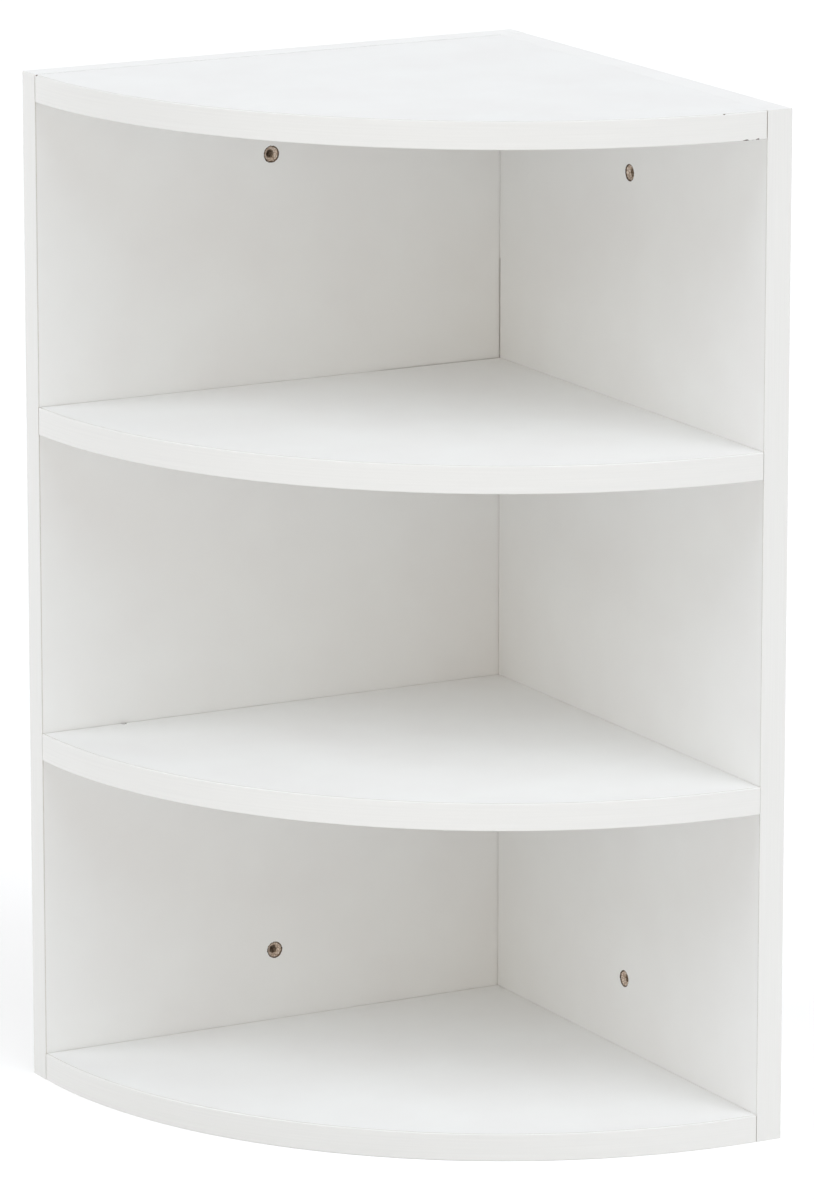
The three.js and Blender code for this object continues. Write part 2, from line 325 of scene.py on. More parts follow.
def white_paper_edging(tree, colours):
    """Melamine paper edging on the panels' tops, bottoms and back, ironed on: the faces' own white
    and sheen, a little smoother."""
    place = add(tree, "ShaderNodeTexCoord"), "Object"
    clouds = add(tree, "ShaderNodeTexNoise", speckled(place, 30))
    _, white = spread(tree, clouds, NOISE_RANGE, colours.melamine, colours.melamine_shade)
    fibres = add(tree, "ShaderNodeTexNoise", speckled(place, 1.1))
    finish_surface(tree, {"Base Color": white, "Roughness": 0.42, "IOR": 1.5}, fibres, 0.006)


def chipboard(tree, light, dark, gap):
    """Pressed softwood chips of 1 to 3 mm with pores between them, dry and rough."""
    place = add(tree, "ShaderNodeTexCoord"), "Object"
    cells = {"Vector": place, "Scale": grain(1.3)}
    chips = add(tree, "ShaderNodeTexVoronoi", cells)
    borders = add(tree, "ShaderNodeTexVoronoi", cells, feature="DISTANCE_TO_EDGE")
    fibres = add(tree, "ShaderNodeTexNoise", speckled(place, 0.35, 3.0))
    own_tone = add(tree, "ShaderNodeSeparateColor", {"Color": (chips, "Color")})
    wood = add(tree, "ShaderNodeMix", {
        "Factor_Float": own_tone, "A_Color": rgba(light), "B_Color": rgba(dark),
    }, data_type="RGBA")
    # Pores between the chips are painted dark, painted shade in those small hollows. They are dark
    # up to the first distance from the border between two chips, and end at the second, both as
    # shares of a chip
    solid = add(tree, "ShaderNodeMapRange", {
        "Value": borders, "From Min": 0.02, "From Max": 0.16,
    })
    porous = add(tree, "ShaderNodeMix", {
        "Factor_Float": solid, "A_Color": rgba(gap), "B_Color": wood,
    }, data_type="RGBA")
    worn = add(tree, "ShaderNodeMapRange", {
        "Value": fibres, **NOISE_RANGE, "To Min": 0.35, "To Max": 0.0,
    })
    fibrous = add(tree, "ShaderNodeMix", {
        "Factor_Float": worn, "A_Color": porous, "B_Color": rgba(dark),
    }, data_type="RGBA")
    height = add(tree, "ShaderNodeMath", {0: solid, 1: fibres}, operation="ADD")
    finish_surface(tree, {"Base Color": fibrous, "Roughness": 0.92}, height, 0.18)


def raw_chipboard(tree, colours):
    """Sawn or broken chipboard, dulled by dust: chips in greyish tans, with dark pores."""
    chipboard(tree, colours.chip_light, colours.chip_dark, colours.chip_gap)


def countersunk_lit_chipboard(tree, colours):
    """Chipboard that a countersink has cut clean: the same chips, fresh and painted much paler than
    real chipboard, painted light that makes the cone, deep in shade, look lit.
    """
    chipboard(tree, colours.fresh_lit_light, colours.fresh_lit_dark, colours.fresh_lit_gap)


def dark_chipboard(tree, colours):
    """Chipboard painted dark brown: painted shade in the small broken places and along the badly
    torn seams, and a dark ring round each countersink's mouth."""
    chipboard(tree, colours.dark_chip_light, colours.dark_chip_dark, colours.dark_chip_gap)


def hot_melt_glue(tree, colours):
    """The line of hot-melt glue under the edging: grey-beige and dull, with dust in it."""
    place = add(tree, "ShaderNodeTexCoord"), "Object"
    specks = add(tree, "ShaderNodeTexNoise", speckled(place, 3, 3.0))
    limits = {"From Min": 0.45, "From Max": 0.8}
    _, beige = spread(tree, specks, limits, colours.glue, colours.chip_dark)
    finish_surface(tree, {"Base Color": beige, "Roughness": 0.7}, specks, 0.03)


def bright_zinc_plate(tree, colours):
    """Cold-headed steel with bright zinc plate: pale, slightly bluish and warm in patches, with a
    fine matt grain from the plating bath."""
    place = add(tree, "ShaderNodeTexCoord"), "Object"
    clouds = add(tree, "ShaderNodeTexNoise", speckled(place, 4))
    limits = {"From Min": 0.35, "From Max": 0.65}
    _, plate = spread(tree, clouds, limits, colours.zinc, colours.zinc_warm)
    bath = add(tree, "ShaderNodeTexNoise", speckled(place, 0.6))
    matt = add(tree, "ShaderNodeMapRange", {
        "Value": bath, **NOISE_RANGE, "To Min": 0.26, "To Max": 0.4,
    })
    finish_surface(tree, {"Base Color": plate, "Metallic": 1.0, "Roughness": matt}, bath, 0.01)


def turned_beech(tree, colours):
    """Turned and fluted beech: pinkish tan with short dark flecks along the grain."""
    around = add(tree, "ShaderNodeUVMap", uv_map="UVMap")
    drawn = add(tree, "ShaderNodeMapping", {"Vector": around, "Scale": (grain(0.5), grain(4), 1)})
    flecks = add(tree, "ShaderNodeTexNoise", {"Vector": drawn, "Scale": 1.0, "Detail": 3.0})
    limits = {"From Min": 0.5, "From Max": 0.72}
    _, wood = spread(tree, flecks, limits, colours.beech, colours.beech_fleck)
    finish_surface(tree, {"Base Color": wood, "Roughness": 0.62}, flecks, 0.03)


# What a board's material slots hold, and their numbers
BOARD_FINISHES = (
    white_melamine, raw_chipboard, hot_melt_glue, dark_chipboard, countersunk_lit_chipboard,
)
FACE, RAW, GLUE, DARK, FRESH_LIT = range(len(BOARD_FINISHES))
SMOOTH_ANGLE = math.radians(32)


def link(name, data):
    """A new object in the scene, with that mesh, camera or lamp."""
    made = bpy.data.objects.new(name, data)
    bpy.context.scene.collection.objects.link(made)
    return made


def baked(piece):
    """Turns what the piece's modifiers make into its plain mesh, and takes them off."""
    graph = bpy.context.evaluated_depsgraph_get()
    made = bpy.data.meshes.new_from_object(
        piece.evaluated_get(graph), preserve_all_data_layers=True, depsgraph=graph
    )
    piece.modifiers.clear()
    piece.data = made


def shade(piece):
    """Smooth shading with sharp corners, in which the large faces stay flat beside a small arris."""
    piece.data.polygons.foreach_set("use_smooth", [True] * len(piece.data.polygons))
    piece.data.set_sharp_from_angle(angle=SMOOTH_ANGLE)
    weigh = piece.modifiers.new("normals", "WEIGHTED_NORMAL")
    weigh.mode = "FACE_AREA"
    weigh.weight = 100
    weigh.keep_sharp = True
    baked(piece)


def settle(piece, node):
    """Hangs a finished piece under the root body, and hides the node of the construction model that
    it stands for.
    """
    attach(piece, "root")
    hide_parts(node)


# From a panel's own axes, which are the distance from the inner corner, the depth into the panel
# and the height, to the unit's
PANEL_SPACES = {
    "left": Matrix(((-1, 0, 0, RIGHT_LOW.x), (0, 1, 0, LEFT_LOW.y), (0, 0, 1, 0), (0, 0, 0, 1))),
    "right": Matrix(((0, 1, 0, RIGHT_LOW.x), (-1, 0, 0, RIGHT_HIGH.y), (0, 0, 1, 0), (0, 0, 0, 1))),
}


def stretch(start, end, kind, spacing):
    """Points along a straight edge of a board, without its end."""
    count = max(1, round((end - start).length / spacing))
    return [(start.lerp(end, i / count), kind) for i in range(count)]


# The noise of two kinds of torn edge, each as layers of (grain in mm, weight, seed of its own)
SAW_TEARS = ((2.2, 0.35, 0), (13, 0.9, 7))
STRIP_TEARS = ((1.7, 0.12, 0), (9, 0.16, 7))


def ragged(level, layers, point, seed):
    """The level with layers of noise added to it, at a point."""
    return sum((
        weight * noise.noise(Vector((point.x / (size * MM), point.y / (size * MM), seed + own)))
        for size, weight, own in layers
    ), level)


def torn(point, seed):
    """How far the melamine is torn back from a sawn edge at a point."""
    sizes = settings().boards
    share = min(1.0, max(0.0, ragged(0, SAW_TEARS, point, seed)))
    return sizes.tear_least + share * (sizes.tear_most - sizes.tear_least)


def torn_badly(point, seed):
    """The same where the saw tore a shallow strip off."""
    return settings().boards.rough_tear * ragged(1, STRIP_TEARS, point, seed)


# Up to the turn with this cosine, a board's rim runs on without a corner
STRAIGHT_ON = 0.9
# How steeply torn chipboard falls to the edge, over the first part of a tear
TEAR_SLOPE = 0.8
SLOPE_LENGTH = 0.3 * MM
# The seeds of the torn edges round a board's lower and upper face
LOWER_SEED, UPPER_SEED = 11.3, 29.7


def inset_at(rim, i, seed):
    """The step inwards from the board's edge to where its face starts, at one point of the rim."""
    before, kind_before = rim[i - 1]
    point, kind = rim[i]
    after = rim[(i + 1) % len(rim)][0]
    depths = {
        "edged": settings().boards.glue_line,
        "sawn": torn(point, seed),
        "rough": torn_badly(point, seed),
    }
    first = (point - before).normalized()
    second = (after - point).normalized()
    inwards = [Vector((-d.y, d.x)) for d in (first, second)]
    if first.dot(second) > STRAIGHT_ON:
        return (inwards[0] + inwards[1]).normalized() * depths[kind]
    return inwards[0] * depths[kind_before] + inwards[1] * depths[kind]


def board_mesh(name, rim):
    """A board lying flat from z = 0. rim goes round it anticlockwise as (point, kind of the edge
    that starts there). Its two faces start a little inside the rim, behind a glue line or a torn
    edge, and each is a loop of its own."""
    work = bmesh.new()
    rough_depth = settings().boards.rough_depth
    loops = []
    for face_height, inner, seed in ((0.0, 1, LOWER_SEED), (BOARD, -1, UPPER_SEED)):
        steps = [inset_at(rim, i, seed) for i in range(len(rim))]
        drops = [
            rough_depth if kind == "rough" else TEAR_SLOPE * min(step.length, SLOPE_LENGTH)
            for (_, kind), step in zip(rim, steps)
        ]
        edge_loop = [
            work.verts.new((*p, face_height + inner * drop)) for (p, _), drop in zip(rim, drops)
        ]
        face_loop = [
            work.verts.new((*(p + step), face_height)) for (p, _), step in zip(rim, steps)
        ]
        loops.append((face_loop, edge_loop))
    (bottom, low), (top, high) = loops
    work.faces.new(list(reversed(bottom))).material_index = FACE
    work.faces.new(top).material_index = FACE
    for i, (_, kind) in enumerate(rim):
        j = (i + 1) % len(rim)
        # A badly torn stretch gets the dark chips beside its faces: painted shade in the seam, where
        # real chipboard shows as well
        border = {"edged": GLUE, "rough": DARK}.get(kind, RAW)
        work.faces.new((bottom[i], bottom[j], low[j], low[i])).material_index = border
        work.faces.new((low[i], low[j], high[j], high[i])).material_index = RAW
        work.faces.new((high[i], high[j], top[j], top[i])).material_index = border
    mesh = bpy.data.meshes.new(name)
    work.to_mesh(mesh)
    work.free()
    for finish in BOARD_FINISHES:
        mesh.materials.append(material(finish))
    return mesh


# The grain of a drilled wall's roughness, and the facets round a wall hole and a plain bore
CRUMBLE_GRAIN = 0.9 * MM
WALL_HOLE_SIDES, BORE_SIDES = 96, 24
# The longest step along a wall hole's profile, which lets the roughness show
WALL_HOLE_STEP = 0.45 * MM
# How far a cutter reaches past a board's face
OVERRUN = 2 * MM
# Between the seeds of a board's holes, and of its broken places
HOLE_SEED_STEP, NICK_SEED_STEP = 5.0, 3.7


def turn_profile(work, profile, place, sides, roughness, seed):
    """A closed turned solid in the bmesh. profile lists (radius, depth, material slot from there
    on), and place takes the solid's own axes, with +Y along its axis, to the board's. Its walls
    are pushed in and out by noise."""
    rows = []
    for radius, depth, _ in profile:
        row = []
        for k in range(sides):
            angle = math.tau * k / sides
            spot = Vector((math.cos(angle) * radius, depth, math.sin(angle) * radius))
            push = noise.noise(spot / CRUMBLE_GRAIN + Vector((seed, 0, 0)))
            grown = radius + roughness * push
            moved = Vector((math.cos(angle) * grown, depth, math.sin(angle) * grown))
            row.append(work.verts.new(place @ moved))
        rows.append(row)
    for (_, _, slot), row, following in zip(profile, rows, rows[1:]):
        for k in range(sides):
            j = (k + 1) % sides
            face = work.faces.new((row[k], following[k], following[j], row[j]))
            face.material_index = slot
    work.faces.new(rows[0]).material_index = RAW
    work.faces.new(list(reversed(rows[-1]))).material_index = RAW


def profile_through(corners, size):
    """Points of a profile through its corners, no further apart than size."""
    points = []
    for (r0, d0, slot), (r1, d1, _) in zip(corners, corners[1:]):
        count = max(1, math.ceil(math.hypot(r1 - r0, d1 - d0) / size))
        shares = [i / count for i in range(count)]
        points += [(r0 + (r1 - r0) * share, d0 + (d1 - d0) * share, slot) for share in shares]
    return points + [corners[-1]]


def wall_hole_profile():
    """Countersunk from depth 0 and right through a board, where the drill broke chips out."""
    sizes = settings().boards
    mouth = sizes.wall_sink / 2
    cone = mouth - sizes.sink_rim
    hole = sizes.wall_hole / 2
    burst = sizes.crumble
    corners = [
        (mouth, -OVERRUN, DARK),
        (mouth, 0.0, DARK),
        # The cone gets the paler chips: painted light
        (cone, sizes.sink_rim_depth, FRESH_LIT),
        (hole, sizes.sink_rim_depth + cone - hole, RAW),
        (hole, BOARD - burst, RAW),
        (hole + burst, BOARD, RAW),
        (hole + burst, BOARD + OVERRUN, RAW),
    ]
    return profile_through(corners, WALL_HOLE_STEP)


def fasteners(kind, *places):
    """The construction model's nodes of that kind at those places, such as left or corner."""
    starts = tuple(f"{kind}_{place}_" for place in places)
    return sorted(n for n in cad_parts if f"{n}_".startswith(starts))


def measured(node):
    """The number of the axis that a screw or dowel lies along, the middle of its end nearest the
    wall, its length and its largest radius."""
    axis = 0 if "_right_" in node else 1
    low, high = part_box(node)
    end = (low + high) / 2
    end[axis] = high[axis]
    return axis, end, high[axis] - low[axis], (high.z - low.z) / 2


def placed(start, direction):
    """Takes a solid drawn along +Y from its origin to a start and a direction."""
    turn = direction.to_track_quat("Y", "Z").to_matrix().to_4x4()
    return Matrix.Translation(start) @ turn


def place_on(node, coordinate, inwards):
    """Where a fastener's hole starts: on the face at that coordinate of the fastener's axis."""
    axis, start, *_ = measured(node)
    start[axis] = coordinate
    direction = Vector((0, 0, 0))
    direction[axis] = -1 if inwards else 1
    return placed(start, direction)


def bore_for(node, coordinate, inwards):
    """A blind hole for a fastener, from a face into the board that it ends in."""
    sizes = settings().fasteners
    axis, end, reach, radius = measured(node)
    tip = end[axis] - reach if inwards else end[axis]
    depth = abs(tip - coordinate) + sizes.end_room
    if node.startswith("screw"):
        radius = sizes.thread / 2
    bore = radius + sizes.clearance
    return [(bore, -OVERRUN, RAW), (bore, depth, RAW)], place_on(node, coordinate, inwards)


def screw_through_panel(node, coordinate):
    """From the outer face through a panel: a recess for the screw's head, and its clearance."""
    sizes = settings().fasteners
    *_, head = measured(node)
    recess = head + sizes.clearance
    hole = sizes.thread / 2 + sizes.clearance
    cone_top = sizes.rim + sizes.clearance
    profile = [
        (recess, -OVERRUN, RAW),
        (recess, cone_top, RAW),
        (hole, cone_top + recess - hole, RAW),
        (hole, BOARD + OVERRUN, RAW),
    ]
    return profile, place_on(node, coordinate, True)


def wall_hole_places(side):
    """The two holes in a panel's inner face for the wall screws."""
    from_end = BOARD + settings().boards.wall_hole_from_board
    along = EDGED_RADIUS / 2
    space = PANEL_SPACES[side]
    outwards = space.to_3x3() @ Vector((0, 1, 0))
    heights = (from_end, HEIGHT - from_end)
    return [placed(space @ Vector((along, 0, z)), outwards) for z in heights]


def panel_holes(side):
    """Each hole of a panel as (profile, place, sides, roughness)."""
    sizes = settings().boards
    rough, smooth = (WALL_HOLE_SIDES, sizes.crumble), (BORE_SIDES, 0.0)
    outer = LEFT_HIGH.y if side == "left" else RIGHT_HIGH.x
    inner = LEFT_LOW.y if side == "left" else RIGHT_LOW.x
    holes = [(wall_hole_profile(), place, *rough) for place in wall_hole_places(side)]
    joints = ("left", "corner") if side == "left" else ("right",)
    for node in fasteners("screw", *joints):
        holes.append((*screw_through_panel(node, outer), *smooth))
    for node in fasteners("dowel", *joints):
        holes.append((*bore_for(node, inner, False), *smooth))
    if side == "right":
        for node in fasteners("screw", "corner") + fasteners("dowel", "corner"):
            holes.append((*bore_for(node, RIGHT_HIGH.y, True), *smooth))
    return holes


def shelf_holes(name):
    """The same for a shelf's straight edges."""
    return [
        (*bore_for(node, edge, True), BORE_SIDES, 0.0)
        for side, edge in (("left", SHELF_CORNER.y), ("right", SHELF_CORNER.x))
        for kind in ("screw", "dowel")
        for node in fasteners(kind, f"{side}_{name}")
    ]


def cut_away(piece, work):
    """Cuts the bmesh's closed solids out of a piece. The new walls keep the cutters' slots."""
    bmesh.ops.recalc_face_normals(work, faces=work.faces)
    mesh = bpy.data.meshes.new("cutters")
    work.to_mesh(mesh)
    work.free()
    for finish in piece.data.materials:
        mesh.materials.append(finish)
    cutters = link("cutters", mesh)
    cut = piece.modifiers.new("cut", "BOOLEAN")
    cut.operation = "DIFFERENCE"
    cut.solver = "EXACT"
    cut.material_mode = "INDEX"
    cut.object = cutters
    baked(piece)
    bpy.data.objects.remove(cutters)


def add_nick(work, place, size, slot, seed):
    """A rough lump in the bmesh, which leaves a small broken place where it is cut away."""
    roughness, bumps_across = 0.5, 4
    made = bmesh.ops.create_icosphere(work, subdivisions=3, radius=0.5)
    for vert in made["verts"]:
        push = 1 + roughness * noise.noise(vert.co * bumps_across + Vector((seed, 0, 0)))
        vert.co = place @ Vector([a * b * push for a, b in zip(vert.co, size)])
        for face in vert.link_faces:
            face.material_index = slot


def cut_nicks(piece, nicks, slot):
    """Breaks small places out of a piece's edges, each given as (place, size). Their walls get the
    material in that slot."""
    work = bmesh.new()
    for i, (place, size) in enumerate(nicks):
        add_nick(work, place, size, slot, NICK_SEED_STEP * i)
    cut_away(piece, work)


def cut_holes(piece, holes):
    """Cuts turned holes out of a board, whose walls then show its chips."""
    work = bmesh.new()
    for i, (profile, place, sides, roughness) in enumerate(holes):
        turn_profile(work, profile, place, sides, roughness, HOLE_SEED_STEP * i)
    cut_away(piece, work)


def make_board(name, rim, space, holes, node, nicks=()):
    """Makes a board from its rim, taken by space to its place, with its holes and broken places."""
    mesh = board_mesh(name, rim)
    mesh.transform(space)
    work = bmesh.new()
    work.from_mesh(mesh)
    bmesh.ops.recalc_face_normals(work, faces=work.faces)
    work.to_mesh(mesh)
    work.free()
    piece = link(name, mesh)
    cut_holes(piece, holes)
    if nicks:
        # Their walls get the dark chips: painted shade in those small hollows
        cut_nicks(piece, nicks, DARK)
    shade(piece)
    settle(piece, node)


def panel_rim(side, low, high):
    """Round a panel, by the distance from the inner corner and the height."""
    inverse = PANEL_SPACES[side].inverted()
    near, far = sorted((inverse @ corner).x for corner in (low, high))
    rear = "edged"
    if side == "right":
        near = RIGHT_HIGH.y - butt_line("corner")
        rear = "sawn"
    outline = [
        (Vector((near, low.z)), "edged"),
        (Vector((far, low.z)), "edged"),
        (Vector((far, high.z)), "edged"),
        (Vector((near, high.z)), rear),
    ]
    rim = []
    for i, (start, kind) in enumerate(outline):
        end, _ = outline[(i + 1) % len(outline)]
        rim += stretch(start, end, kind, settings().boards.tear_spacing)
    lowest, highest = [height * MM for height in ROUGH_HEIGHTS]
    return [
        (spot, "rough" if kind == "sawn" and lowest < spot.y < highest else kind)
        for spot, kind in rim
    ]


class SHELF_OT_panels(bpy.types.Operator):
    """Makes the two upright panels, with glue lines, torn saw cuts, screw holes and wall holes"""

    bl_idname = "shelf_unit.make_panels"
    bl_label = "Panels"

    def execute(self, context):
        # Swaps depth and height, which stands a board up on its rim
        upright = Matrix(((1, 0, 0, 0), (0, 0, 1, 0), (0, 1, 0, 0), (0, 0, 0, 1)))
        for side, low, high in PANELS:
            rim = panel_rim(side, low, high)
            space = PANEL_SPACES[side] @ upright
            make_board(f"{side}_panel_board", rim, space, panel_holes(side), f"{side}_panel")
        return {"FINISHED"}


def butt_line(joint):
    """How far back a board reaches that butts against the left panel. The top one stops shorter."""
    sizes = settings().boards
    return LEFT_LOW.y - (sizes.top_gap if joint == "top" else sizes.left_gap)


def front_arc(left, right):
    """The curved front from its left end to its right end, with those gaps to the panels' faces."""
    first = math.pi - math.asin((LEFT_LOW.y - left - SHELF_CORNER.y) / BOARD_RADIUS)
    last = 1.5 * math.pi - math.asin(right / BOARD_RADIUS)
    steps = settings().edging.arc_steps
    angles = [first + (last - first) * i / steps for i in range(steps + 1)]
    return [SHELF_CORNER + Vector((math.cos(a), math.sin(a))) * BOARD_RADIUS for a in angles]


# How far from the corner in mm a shelf's edge against the left panel is torn badly, with painted
# shade in its seam
ROUGH_LENGTHS = {"top": 300, "upper": 75}
# The stretch of the right panel's edge in the corner that is, by its heights in mm, also with
# painted shade in its seam
ROUGH_HEIGHTS = (372, 435)


def shelf_rim(name):
    """Round a shelf from the left end of its curved front."""
    sizes = settings().boards
    front = front_arc(LEFT_LOW.y - butt_line(name), sizes.right_gap)
    rim = [(spot, "edged") for spot in front[:-1]]
    corner = Vector((SHELF_CORNER.x - sizes.right_gap, butt_line(name)))
    rim += stretch(front[-1], corner, "sawn", sizes.tear_spacing)
    rough_to = ROUGH_LENGTHS.get(name, 0) * MM
    for spot, _ in stretch(corner, front[0], "sawn", sizes.tear_spacing):
        rim.append((spot, "rough" if (spot - corner).length < rough_to else "sawn"))
    return rim


# Small broken places along the curved fronts, as (shelf, share of the front from the left, the
# edge's height as a share of the board, (length, depth, height) in mm)
FRONT_NICKS = (
    ("top", 0.9715, 0.0, (3.2, 1.6, 1.4)),
    ("top", 0.9805, 0.0, (1.0, 1.0, 0.5)),
    ("top", 0.987, 0.0, (1.9, 1.8, 1.6)),
    ("top", 0.9425, 1.0, (1.6, 1.1, 0.9)),
    ("top", 0.004, 1.0, (1.9, 2.0, 1.2)),
)
# The same along the straight edges against the left panel, by their distance from the corner
JOINT_NICKS = (("lower", 235.6, 1.0, (3.6, 4.6, 1.6)),)


def front_nicks(name):
    """The broken places of a shelf's curved front as (place, size)."""
    low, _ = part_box(f"shelf_{name}")
    nicks = []
    for shelf, share, level, size in FRONT_NICKS:
        if shelf == name:
            angle = math.pi * (1 + share / 2)
            spot = SHELF_CORNER + Vector((math.cos(angle), math.sin(angle))) * EDGED_RADIUS
            place = Matrix.Translation((*spot, low.z + level * BOARD))
            turn = Matrix.Rotation(angle + math.pi / 2, 4, "Z")
            nicks.append((place @ turn, Vector(size) * MM))
    return nicks


def joint_nicks(name):
    """A shelf's broken places against the left panel as (place, size)."""
    low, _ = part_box(f"shelf_{name}")
    nicks = []
    for shelf, from_corner, level, size in JOINT_NICKS:
        if shelf == name:
            spot = (SHELF_CORNER.x - from_corner * MM, butt_line(name), low.z + level * BOARD)
            nicks.append((Matrix.Translation(spot), Vector(size) * MM))
    return nicks


class SHELF_OT_shelves(bpy.types.Operator):
    """Makes the four quarter-round boards, with glue lines in front and torn saw cuts behind"""

    bl_idname = "shelf_unit.make_shelves"
    bl_label = "Shelves"

    def execute(self, context):
        for name in SHELVES:
            node = f"shelf_{name}"
            low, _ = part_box(node)
            rim = shelf_rim(name)
            space = Matrix.Translation((0, 0, low.z))
            nicks = front_nicks(name) + joint_nicks(name)
            make_board(f"{name}_shelf_board", rim, space, shelf_holes(name), node, nicks)
        return {"FINISHED"}


def named_tree(name, inputs):
    """A new Geometry Nodes tree with those named inputs, after one for the geometry."""
    tree = bpy.data.node_groups.new(name, "GeometryNodeTree")
    face = tree.interface
    face.new_socket("Geometry", in_out="INPUT", socket_type="NodeSocketGeometry")
    for label, kind in inputs.items():
        face.new_socket(label, in_out="INPUT", socket_type=f"NodeSocket{kind}")
    face.new_socket("Geometry", in_out="OUTPUT", socket_type="NodeSocketGeometry")
    return tree, add(tree, "NodeGroupInput")


def end_tree(tree, geometry, given):
    """Ends a tree in plain geometry with the material that it is given."""
    real = add(tree, "GeometryNodeRealizeInstances", {"Geometry": geometry})
    dressed = add(tree, "GeometryNodeSetMaterial", {
        "Geometry": real, "Material": (given, "Material"),
    })
    add(tree, "NodeGroupOutput", {"Geometry": dressed})


def run_tree(piece, tree, values):
    """Puts the tree on the piece with its inputs' values, by their labels, and bakes it."""
    modifier = piece.modifiers.new(tree.name, "NODES")
    modifier.node_group = tree
    for item in tree.interface.items_tree:
        if item.in_out == "INPUT" and item.name in values:
            modifier[item.identifier] = values[item.name]
    baked(piece)


def edging_tree():
    """A strip on the left of a path, with its two outer long edges rounded. Its UV map gives the
    length along the path and the height, both in metres."""
    tree, given = named_tree("Edging strip", {
        "Thickness": "Float", "Width": "Float", "Arris": "Float", "Arris Steps": "Int",
        "Material": "Material",
    })
    path = add(tree, "GeometryNodeMeshToCurve", {"Mesh": (given, "Geometry")})
    level = add(tree, "GeometryNodeSetCurveNormal", {"Curve": path}, mode="Z_UP")
    run = add(tree, "GeometryNodeSplineParameter")
    kept = tree.nodes.new("GeometryNodeCaptureAttribute")
    kept.capture_items.new("FLOAT", "Length")
    tree.links.new(level.outputs[0], kept.inputs["Geometry"])
    tree.links.new(run.outputs["Length"], kept.inputs["Length"])
    box = add(tree, "GeometryNodeCurvePrimitiveQuadrilateral", {
        "Width": (given, "Thickness"), "Height": (given, "Width"),
    })
    # The profile's own axes run to the right of the path and down
    across = add(tree, "ShaderNodeMath", {
        0: (given, "Thickness"), 1: -0.5,
    }, operation="MULTIPLY")
    up = add(tree, "ShaderNodeMath", {0: (given, "Width"), 1: -0.5}, operation="MULTIPLY")
    shift = add(tree, "ShaderNodeCombineXYZ", {"X": across, "Y": up})
    beside = add(tree, "GeometryNodeTransform", {"Geometry": box, "Translation": shift})
    where = add(tree, "GeometryNodeInputPosition")
    apart = add(tree, "ShaderNodeSeparateXYZ", {"Vector": where})
    outer = add(tree, "ShaderNodeMath", {0: (apart, "X"), 1: across}, operation="LESS_THAN")
    radius = add(tree, "ShaderNodeMath", {0: outer, 1: (given, "Arris")}, operation="MULTIPLY")
    rounded = add(tree, "GeometryNodeFilletCurve", {
        "Curve": beside, "Count": (given, "Arris Steps"), "Radius": radius, "Limit Radius": True,
    }, mode="POLY")
    strip = add(tree, "GeometryNodeCurveToMesh", {
        "Curve": (kept, "Geometry"), "Profile Curve": rounded, "Fill Caps": True,
    })
    mapped = add(tree, "ShaderNodeCombineXYZ", {"X": (kept, "Length"), "Y": (apart, "Z")})
    stored = add(tree, "GeometryNodeStoreNamedAttribute", {
        "Geometry": strip, "Name": "UVMap", "Value": mapped,
    }, data_type="FLOAT2", domain="CORNER")
    end_tree(tree, stored, given)
    return tree


def path_mesh(name, points):
    """Points joined to a line, one after the other."""
    mesh = bpy.data.meshes.new(name)
    mesh.from_pydata(points, [(i, i + 1) for i in range(len(points) - 1)], [])
    return mesh


def edging_piece(name, node, points, space, thickness, arris, finish, nicks=()):
    """A strip of edging along a level path, taken by space to its place."""
    tree = bpy.data.node_groups.get("Edging strip") or edging_tree()
    piece = link(name, path_mesh(name, points))
    run_tree(piece, tree, {
        "Thickness": thickness,
        "Width": BOARD,
        "Arris": arris,
        "Arris Steps": settings().edging.arris_steps,
        "Material": material(finish),
    })
    piece.data.transform(space)
    if nicks:
        # The edging's broken places get the dark chips: painted shade in those small hollows
        piece.data.materials.append(material(dark_chipboard))
        cut_nicks(piece, nicks, len(piece.data.materials) - 1)
    shade(piece)
    settle(piece, node)


# How far each shelf's edging stops short of the left and the right panel, as shares of the end gap
END_GAP_SHARES = {
    "bottom": (2.8, 1.2),
    "lower": (1.9, 0.6),
    "upper": (2.8, 1.0),
    "top": (2.8, 1.6),
}


class SHELF_OT_curved_edging(bpy.types.Operator):
    """Makes the strips round the shelves' curved fronts"""

    bl_idname = "shelf_unit.make_curved_edging"
    bl_label = "Curved edging"

    def execute(self, context):
        sizes = settings().edging
        for name in SHELVES:
            low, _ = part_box(f"edging_shelf_{name}")
            left, right = [sizes.end_gap * share for share in END_GAP_SHARES[name]]
            points = [(*spot, 0) for spot in reversed(front_arc(left, right))]
            edging_piece(
                f"{name}_shelf_strip", f"edging_shelf_{name}", points,
                Matrix.Translation((0, 0, low.z)), EDGED_RADIUS - BOARD_RADIUS,
                sizes.curved_arris, white_abs_edging, front_nicks(name),
            )
        return {"FINISHED"}


class SHELF_OT_straight_edging(bpy.types.Operator):
    """Makes the strips on the panels' ends"""

    bl_idname = "shelf_unit.make_straight_edging"
    bl_label = "Straight edging"

    def execute(self, context):
        for side, board_low, board_high in PANELS:
            # The numbers of three axes: wide lies across a strip, thin through it and run along it
            wide = 1 if side == "left" else 0
            middle = (board_low + board_high) / 2
            for node in fasteners("edging", side):
                low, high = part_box(node)
                size = high - low
                thin = min(range(3), key=lambda axis: size[axis])
                outwards = Vector((0, 0, 0))
                outwards[thin] = math.copysign(1, (low + high)[thin] / 2 - middle[thin])
                across = Vector((0, 0, 0))
                across[wide] = 1
                along = outwards.cross(across)
                run = 3 - wide - thin
                start = low.copy()
                start[run] = low[run] if along[run] > 0 else high[run]
                start[thin] = low[thin] if outwards[thin] > 0 else high[thin]
                turn = Matrix((along, outwards, across)).transposed().to_4x4()
                end = node.rsplit("_", 1)[1]
                finish = white_abs_edging if end == "front" else white_paper_edging
                edging_piece(
                    f"{side}_panel_strip_{end}", node, [(0, 0, 0), (size[run], 0, 0)],
                    Matrix.Translation(start) @ turn, size[thin],
                    settings().edging.straight_arris, finish,
                )
        return {"FINISHED"}


